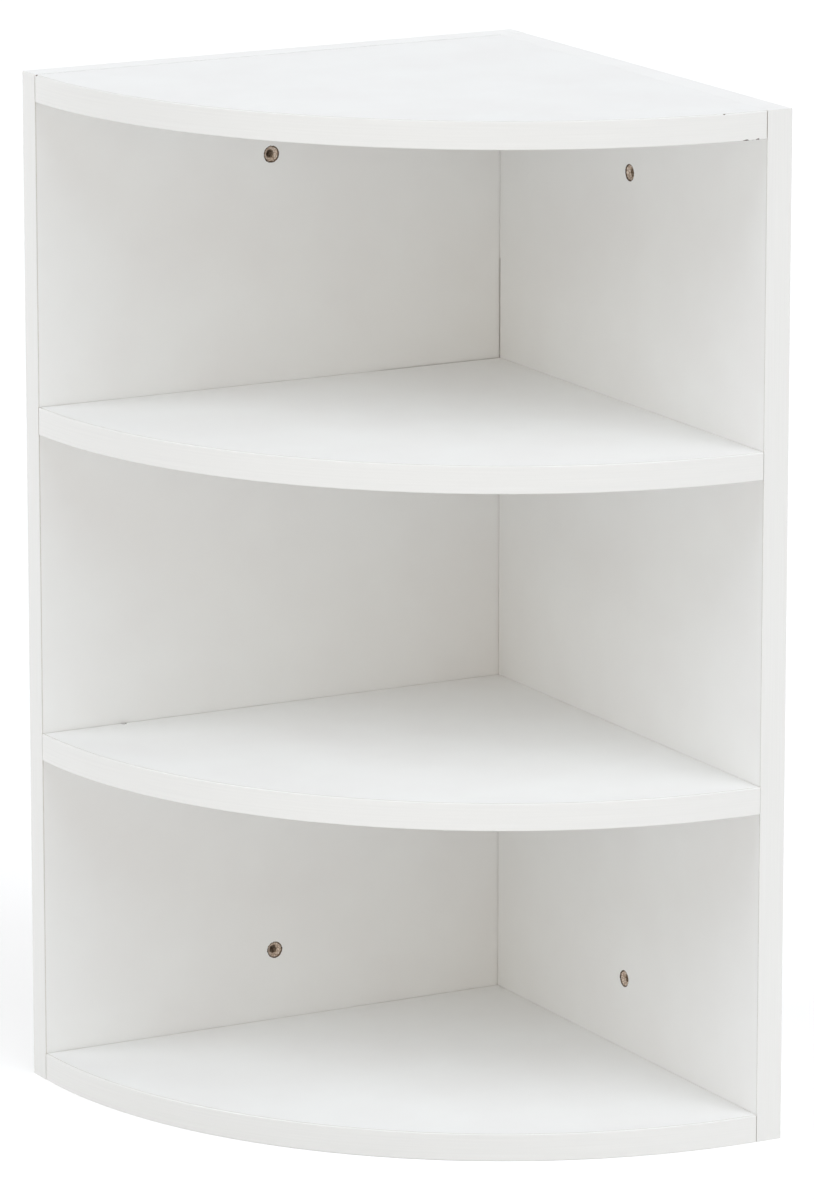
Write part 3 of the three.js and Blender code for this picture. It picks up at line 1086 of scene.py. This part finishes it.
def ridge(tree, turns, height, mark, crest_share, foot_share):
    """How high a ridge stands that comes back with each whole turn. From its middle it keeps its
    height for the first share of a turn, and has fallen at the second."""
    phase = add(tree, "ShaderNodeMath", {0: turns}, operation="FRACT")
    past = add(tree, "ShaderNodeMath", {0: phase, 1: 0.5}, operation="SUBTRACT")
    away = add(tree, "ShaderNodeMath", {0: past}, operation="ABSOLUTE")
    share = add(tree, "ShaderNodeMapRange", {
        "Value": away, "From Min": crest_share, "From Max": foot_share,
        "To Min": 1.0, "To Max": 0.0,
    })
    rise = add(tree, "ShaderNodeMath", {0: share, 1: height}, operation="MULTIPLY")
    return add(tree, "ShaderNodeMath", {0: rise, 1: mark}, operation="MULTIPLY")


def turned_tree():
    """Turns a profile round +Y. The profile's points are (radius, depth), and their attributes say
    where it has a thread, a hexagon or grooves along it."""
    tree, given = named_tree("Turned fastener", {
        "Sides": "Int", "Pitch": "Float", "Thread Height": "Float", "Hexagon Width": "Float",
        "Grooves": "Int", "Groove Depth": "Float", "Material": "Material",
    })
    profile = given, "Geometry"
    count = add(tree, "GeometryNodeAttributeDomainSize", {"Geometry": profile})
    columns = add(tree, "ShaderNodeMath", {0: (given, "Sides"), 1: 1.0}, operation="ADD")
    grid = add(tree, "GeometryNodeMeshGrid", {"Vertices X": columns, "Vertices Y": count})
    index = add(tree, "GeometryNodeInputIndex")
    past = add(tree, "ShaderNodeMath", {0: index, 1: 0.5}, operation="ADD")
    share = add(tree, "ShaderNodeMath", {0: past, 1: count}, operation="DIVIDE")
    column = add(tree, "ShaderNodeMath", {0: share}, operation="FLOOR")
    before = add(tree, "ShaderNodeMath", {0: column, 1: count}, operation="MULTIPLY")
    row = add(tree, "ShaderNodeMath", {0: index, 1: before}, operation="SUBTRACT")
    turn = add(tree, "ShaderNodeMath", {0: column, 1: (given, "Sides")}, operation="DIVIDE")
    angle = add(tree, "ShaderNodeMath", {0: turn, 1: math.tau}, operation="MULTIPLY")

    drawn = add(tree, "GeometryNodeInputPosition")
    spot = add(tree, "GeometryNodeSampleIndex", {
        "Geometry": profile, "Value": drawn, "Index": row,
    }, data_type="FLOAT_VECTOR")
    spot_parts = add(tree, "ShaderNodeSeparateXYZ", {"Vector": spot})
    radius, depth = (spot_parts, "X"), (spot_parts, "Y")
    marks = {}
    for mark in ("threaded", "hexagonal", "grooved"):
        named = add(tree, "GeometryNodeInputNamedAttribute", {"Name": mark}, data_type="FLOAT")
        marks[mark] = add(tree, "GeometryNodeSampleIndex", {
            "Geometry": profile, "Value": named, "Index": row,
        }, data_type="FLOAT")

    # The hexagon's distance from the axis, from the angle to the middle of its nearest flat
    sixth = math.tau / 6
    within = add(tree, "ShaderNodeMath", {0: angle, 1: sixth}, operation="MODULO")
    off_flat = add(tree, "ShaderNodeMath", {0: within, 1: sixth / 2}, operation="SUBTRACT")
    cosine = add(tree, "ShaderNodeMath", {0: off_flat}, operation="COSINE")
    apothem = add(tree, "ShaderNodeMath", {
        0: (given, "Hexagon Width"), 1: 0.5,
    }, operation="MULTIPLY")
    hexagon = add(tree, "ShaderNodeMath", {0: apothem, 1: cosine}, operation="DIVIDE")
    base = add(tree, "ShaderNodeMix", {
        "Factor_Float": marks["hexagonal"], "A_Float": radius, "B_Float": hexagon,
    })

    # A right-hand thread, narrow at its crest, and round grooves side by side
    turns = add(tree, "ShaderNodeMath", {0: depth, 1: (given, "Pitch")}, operation="DIVIDE")
    helix = add(tree, "ShaderNodeMath", {0: turns, 1: turn}, operation="ADD")
    thread = ridge(
        tree, helix, (given, "Thread Height"), marks["threaded"], crest_share=0.04, foot_share=0.3
    )
    flutes = add(tree, "ShaderNodeMath", {0: turn, 1: (given, "Grooves")}, operation="MULTIPLY")
    groove = ridge(
        tree, flutes, (given, "Groove Depth"), marks["grooved"], crest_share=0.0, foot_share=0.5
    )
    raised = add(tree, "ShaderNodeMath", {0: base, 1: thread}, operation="ADD")
    final = add(tree, "ShaderNodeMath", {0: raised, 1: groove}, operation="SUBTRACT")
    right = add(tree, "ShaderNodeMath", {0: angle}, operation="COSINE")
    up = add(tree, "ShaderNodeMath", {0: angle}, operation="SINE")
    x = add(tree, "ShaderNodeMath", {0: final, 1: right}, operation="MULTIPLY")
    z = add(tree, "ShaderNodeMath", {0: final, 1: up}, operation="MULTIPLY")
    place = add(tree, "ShaderNodeCombineXYZ", {"X": x, "Y": depth, "Z": z})
    around = add(tree, "ShaderNodeMath", {0: angle, 1: radius}, operation="MULTIPLY")
    mapped = add(tree, "ShaderNodeCombineXYZ", {"X": around, "Y": depth})
    stored = add(tree, "GeometryNodeStoreNamedAttribute", {
        "Geometry": grid, "Name": "UVMap", "Value": mapped,
    }, data_type="FLOAT2", domain="CORNER")
    turned = add(tree, "GeometryNodeSetPosition", {"Geometry": stored, "Position": place})
    closed = add(tree, "GeometryNodeMergeByDistance", {"Geometry": turned, "Distance": 0.001 * MM})
    outwards = add(tree, "GeometryNodeFlipFaces", {"Mesh": closed})
    end_tree(tree, outwards, given)
    return tree


def profile_mesh(name, points, marks):
    """A profile as a line of points, with a value of each mark at each point."""
    mesh = path_mesh(name, [(radius, depth, 0) for radius, depth in points])
    for mark, values in marks.items():
        attribute = mesh.attributes.new(mark, "FLOAT", "POINT")
        attribute.data.foreach_set("value", values)
    return mesh


# How finely a screw's thread and a dowel's grooves are drawn
ROWS_PER_TURN = 8
FACETS_PER_FLUTE = 4


def screw_profile(reach, head):
    """A connector screw's profile from the bottom of its socket to its point, for its length and
    its head's radius."""
    sizes = settings().fasteners
    socket = sizes.socket / 2
    socket_end = sizes.socket_depth + 0.6 * MM
    shank = sizes.thread / 2
    core = sizes.core / 2
    arris = 0.2 * MM
    cone_end = sizes.rim + head - shank
    neck_end = cone_end + sizes.neck
    core_start = neck_end + 0.5 * MM
    thread_start = neck_end + MM
    thread_length = reach - sizes.tip - thread_start
    blunt_share = 0.3
    rows = [
        ((0, socket_end), 0, 0),
        ((socket, sizes.socket_depth), 1, 0),
        ((socket, arris), 1, 0),
        ((socket + 2 * arris, 0), 0, 0),
        ((head - arris, 0), 0, 0),
        ((head, arris), 0, 0),
        ((head, sizes.rim), 0, 0),
        ((shank, cone_end), 0, 0),
        ((shank, neck_end), 0, 0),
        ((core, core_start), 0, 0),
    ]
    count = round(thread_length / (sizes.pitch / ROWS_PER_TURN))
    # Each end of the thread rises over this part of its length
    rising_share = 1 / 6
    for i in range(count + 1):
        share = i / count
        height = min(1.0, share / rising_share, (1 - share) / rising_share)
        rows.append(((core, thread_start + thread_length * share), 0, height))
    rows.append(((core * blunt_share, reach - arris), 0, 0))
    rows.append(((0, reach), 0, 0))
    points, hexagonal, threaded = zip(*rows)
    marks = {"hexagonal": hexagonal, "threaded": threaded, "grooved": [0.0] * len(rows)}
    return profile_mesh("screw", points, marks)


def dowel_profile(reach, radius):
    """A dowel's profile from end to end, with its grooves between the chamfers."""
    sizes = settings().fasteners
    edge = radius - sizes.chamfer
    rows = [
        ((0, 0), 0),
        ((edge, 0), 0),
        ((radius, sizes.chamfer), 0),
        ((radius, 2 * sizes.chamfer), 1),
        ((radius, reach - 2 * sizes.chamfer), 1),
        ((radius, reach - sizes.chamfer), 0),
        ((edge, reach), 0),
        ((0, reach), 0),
    ]
    points, grooved = zip(*rows)
    none = [0.0] * len(rows)
    marks = {"hexagonal": none, "threaded": none, "grooved": grooved}
    return profile_mesh("dowel", points, marks)


def make_fasteners(kind, profile, values, finish):
    """Turns one screw or dowel, and puts a copy of its mesh where each node of that kind in the
    construction model has its piece."""
    nodes = fasteners(kind, "left", "right", "corner")
    *_, reach, radius = measured(nodes[0])
    made = link(kind, profile(reach, radius))
    tree = bpy.data.node_groups.get("Turned fastener") or turned_tree()
    run_tree(made, tree, {**values, "Material": material(finish)})
    shade(made)
    for node in nodes:
        axis, end, *_ = measured(node)
        mesh = made.data.copy()
        mesh.transform(place_on(node, end[axis], True))
        place = node.removeprefix(f"{kind}_")
        settle(link(f"{place}_{kind}", mesh), node)
    bpy.data.objects.remove(made)


class SHELF_OT_screws(bpy.types.Operator):
    """Makes the connector screws, with their threads and hexagon sockets"""

    bl_idname = "shelf_unit.make_screws"
    bl_label = "Connector screws"

    def execute(self, context):
        sizes = settings().fasteners
        make_fasteners("screw", screw_profile, {
            "Sides": sizes.sides,
            "Pitch": sizes.pitch,
            "Thread Height": (sizes.thread - sizes.core) / 2,
            "Hexagon Width": sizes.socket,
        }, bright_zinc_plate)
        return {"FINISHED"}


class SHELF_OT_dowels(bpy.types.Operator):
    """Makes the fluted wooden dowels"""

    bl_idname = "shelf_unit.make_dowels"
    bl_label = "Dowels"

    def execute(self, context):
        sizes = settings().fasteners
        make_fasteners("dowel", dowel_profile, {
            "Sides": FACETS_PER_FLUTE * sizes.flutes,
            "Pitch": sizes.pitch,
            "Grooves": sizes.flutes,
            "Groove Depth": sizes.flute,
        }, turned_beech)
        return {"FINISHED"}


def seen_rays(tree):
    """1 for rays from the camera or off and through pieces, which show the background, and 0 for
    those that light the pieces."""
    rays = add(tree, "ShaderNodeLightPath")
    either = add(tree, "ShaderNodeMath", {
        0: (rays, "Is Camera Ray"), 1: (rays, "Is Glossy Ray"),
    }, operation="MAXIMUM")
    return add(tree, "ShaderNodeMath", {
        0: either, 1: (rays, "Is Transmission Ray"),
    }, operation="MAXIMUM")


WHITE_LIGHT = (1, 1, 1, 1)


def studio_paper(tree, colours):
    """Seamless pale paper that glows, a painted light that lights the unit from below and fades out
    towards the unit's middle. The camera and glossy surfaces see it white, with the unit's soft
    shadow on it, and the unit gets its light from it."""
    values = settings().studio
    place = add(tree, "ShaderNodeTexCoord"), "Object"
    fibres = add(tree, "ShaderNodeTexNoise", speckled(place, 40, 3.0))
    paper = add(tree, "ShaderNodeMix", {
        "Factor_Float": fibres,
        "A_Color": rgba(colours.paper_fibre),
        "B_Color": rgba(colours.paper),
    }, data_type="RGBA")
    diffuse = add(tree, "ShaderNodeBsdfDiffuse", {"Color": paper})
    away = add(tree, "ShaderNodeVectorMath", {0: place}, operation="LENGTH")
    # The paper's own glow, painted light that no lamp gives, fades out towards the unit's middle
    glow = add(tree, "ShaderNodeMapRange", {
        "Value": away, "From Min": values.glow_start, "From Max": values.glow_full,
        "To Max": values.floor_glow,
    })
    below = add(tree, "ShaderNodeEmission", {"Color": WHITE_LIGHT, "Strength": glow})
    lit = add(tree, "ShaderNodeAddShader", {0: diffuse, 1: below})
    white = add(tree, "ShaderNodeEmission", {
        "Color": WHITE_LIGHT, "Strength": values.floor_white,
    })
    lifted = add(tree, "ShaderNodeAddShader", {0: diffuse, 1: white})
    shown = add(tree, "ShaderNodeMixShader", {0: seen_rays(tree), 1: lit, 2: lifted})
    add(tree, "ShaderNodeOutputMaterial", {"Surface": shown})


def studio_world(ambient):
    """White to the camera, and an even light of that strength on the unit."""
    world = bpy.data.worlds.new("studio")
    world.use_nodes = True
    tree = world.node_tree
    tree.nodes.clear()
    even = add(tree, "ShaderNodeBackground", {"Color": WHITE_LIGHT, "Strength": ambient})
    white = add(tree, "ShaderNodeBackground", {"Color": WHITE_LIGHT, "Strength": 1.0})
    mixed = add(tree, "ShaderNodeMixShader", {0: seen_rays(tree), 1: even, 2: white})
    add(tree, "ShaderNodeOutputWorld", {"Surface": mixed})
    bpy.context.scene.world = world


# Broad, far lamps: name, azimuth and elevation that they shine from, spread, strength and colour
LAMPS = (
    ("key_left", -100, 38, 45, 1.23, "#F5F9FF"),
    ("key_right", 5, 42, 45, 1.07, "#F1F9FF"),
    ("key_wide", 35, 45, 45, 0.79, "#F9F9FF"),
    ("fill_left", -65, 8, 45, 0.26, "#FFFEF4"),
    ("fill_front", -30, 10, 45, 0.3, "#FFEAD3"),
    ("back_light", 150, 6, 45, 0.12, "#FFFFFF"),
    ("back_right", 100, 5, 20, 0.5, "#FFFFFF"),
    ("back_left", 195, 5, 20, 0.5, "#FFFFFF"),
)
# How far off the lamps stand, in metres. They shine alike from any distance.
LAMP_DISTANCE = 5


def direction_to(azimuth, elevation):
    """Towards a viewer or lamp. Azimuth 0 is in front, at -Y, and 90 is at +X."""
    level = math.cos(elevation)
    return Vector((
        math.sin(azimuth) * level, -math.cos(azimuth) * level, math.sin(elevation)
    ))


def stand(thing, middle, towards, distance):
    """Puts a camera or lamp that far from a point in that direction, and turns it to the point."""
    thing.location = middle + towards * distance
    thing.rotation_euler = (-towards).to_track_quat("-Z", "Y").to_euler()


class SHELF_OT_studio(bpy.types.Operator):
    """Makes the camera, the lamps, the white world and the pale floor"""

    bl_idname = "shelf_unit.make_studio"
    bl_label = "Studio"

    def execute(self, context):
        values = settings().studio
        scene = context.scene
        scene.view_settings.view_transform = "Standard"
        data = bpy.data.cameras.new("camera")
        data.lens = values.lens
        data.sensor_width = 36
        data.clip_end = 50
        camera = link("camera", data)
        back = direction_to(values.azimuth, values.elevation)
        stand(camera, Vector(values.view_middle), back, values.distance)
        scene.camera = camera
        for name, azimuth, elevation, spread, strength, tint in LAMPS:
            lamp = bpy.data.lights.new(name, "SUN")
            lamp.angle = math.radians(spread)
            lamp.energy = strength
            lamp.color = linear(tint)
            towards = direction_to(math.radians(azimuth), math.radians(elevation))
            stand(link(name, lamp), Vector((0, 0, 0)), towards, LAMP_DISTANCE)
        studio_world(values.ambient)
        # The floor lies just under the unit, so that their faces don't meet
        half = 15.0
        low = -0.1 * MM
        mesh = bpy.data.meshes.new("studio_floor")
        corners = [(-half, -half, low), (half, -half, low), (half, half, low), (-half, half, low)]
        mesh.from_pydata(corners, [], [(0, 1, 2, 3)])
        mesh.materials.append(material(studio_paper))
        link("studio_floor", mesh)
        return {"FINISHED"}


class SHELF_PT_sidebar(bpy.types.Panel):
    """Lists the pieces that can be made"""

    bl_idname = "SHELF_PT_sidebar"
    bl_label = "Corner Shelf"
    bl_space_type = "VIEW_3D"
    bl_region_type = "UI"
    bl_category = "Corner Shelf"

    def draw(self, context):
        for operator in OPERATORS:
            self.layout.operator(operator.bl_idname)


GROUPS = (BoardSizes, EdgingSizes, FastenerSizes, FinishColours, StudioValues, ShelfUnitSettings)
OPERATORS = (
    SHELF_OT_panels,
    SHELF_OT_shelves,
    SHELF_OT_curved_edging,
    SHELF_OT_straight_edging,
    SHELF_OT_screws,
    SHELF_OT_dowels,
    SHELF_OT_studio,
)


def register():
    for made in (*GROUPS, *OPERATORS, SHELF_PT_sidebar):
        bpy.utils.register_class(made)
    bpy.types.Scene.shelf_unit = PointerProperty(type=ShelfUnitSettings)


def unregister():
    del bpy.types.Scene.shelf_unit
    for made in reversed((*GROUPS, *OPERATORS, SHELF_PT_sidebar)):
        bpy.utils.unregister_class(made)


def main():
    register()
    bpy.ops.shelf_unit.make_panels()
    bpy.ops.shelf_unit.make_shelves()
    bpy.ops.shelf_unit.make_curved_edging()
    bpy.ops.shelf_unit.make_straight_edging()
    bpy.ops.shelf_unit.make_screws()
    bpy.ops.shelf_unit.make_dowels()
    bpy.ops.shelf_unit.make_studio()


if __name__ == "__main__":
    main()
